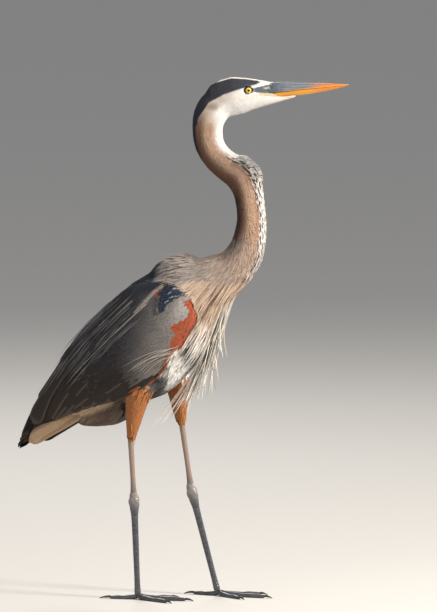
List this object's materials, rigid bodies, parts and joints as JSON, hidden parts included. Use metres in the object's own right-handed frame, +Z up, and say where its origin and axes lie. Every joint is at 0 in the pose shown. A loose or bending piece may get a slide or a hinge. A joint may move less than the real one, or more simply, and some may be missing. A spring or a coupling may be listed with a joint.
{
  "type": "great blue heron",
  "caption": "Life-size standing great blue heron with an S-curved neck, dagger bill, folded wings, breast plumes and long legs.",
  "frame": {"origin": "on the floor, under the middle of the bird's box", "axes": "+X the way the body faces, +Y to the bird's left, +Z up"},
  "size_m": [0.635, 0.1856, 0.9718],
  "materials": {
    "bill": "slate horn with pale streaks, orange towards the tip, satin",
    "mandible": "orange-yellow horn, satin",
    "eye": "yellow iris with a black pupil under a clear wet surface",
    "face_feathers": "short white feathers with a black stripe over the eye to the nape",
    "neck_feathers": "fine grey-brown feathers with a streaked black and white stripe down the front",
    "body_feathers": "blue-grey body feathers with long pale plumes on the back",
    "wing_feathers": "layered blue-grey feathers, rufous at the wrist",
    "primary_feathers": "blackish flight feathers",
    "tail_feathers": "grey-buff tail feathers",
    "plumes": "long loose white and grey plumes",
    "thigh_feathers": "short rufous feathers",
    "shin_skin": "pale grey-pink scaled skin",
    "leg_scales": "dark grey-brown scales",
    "claw": "black horn"
  },
  "bodies": {
    "root": {"bill_lower": "mandible", "bill_upper": "bill", "breast_plumes": "plumes", "claw_left_hind": "claw", "claw_left_inner": "claw", "claw_left_middle": "claw", "claw_left_outer": "claw", "claw_right_hind": "claw", "claw_right_inner": "claw", "claw_right_middle": "claw", "claw_right_outer": "claw", "eye_left": "eye", "eye_right": "eye", "head": "face_feathers", "neck_lower": "neck_feathers", "neck_middle": "neck_feathers", "neck_upper": "neck_feathers", "shin_left": "shin_skin", "shin_right": "shin_skin", "tail": "tail_feathers", "tarsus_left": "leg_scales", "tarsus_right": "leg_scales", "thigh_left": "thigh_feathers", "thigh_right": "thigh_feathers", "toe_left_hind": "leg_scales", "toe_left_inner": "leg_scales", "toe_left_middle": "leg_scales", "toe_left_outer": "leg_scales", "toe_right_hind": "leg_scales", "toe_right_inner": "leg_scales", "toe_right_middle": "leg_scales", "toe_right_outer": "leg_scales", "trunk": "body_feathers", "wing_left_coverts": "wing_feathers", "wing_left_primaries": "primary_feathers", "wing_left_secondaries": "wing_feathers", "wing_right_coverts": "wing_feathers", "wing_right_primaries": "primary_feathers", "wing_right_secondaries": "wing_feathers"}
  },
  "joints": []
}
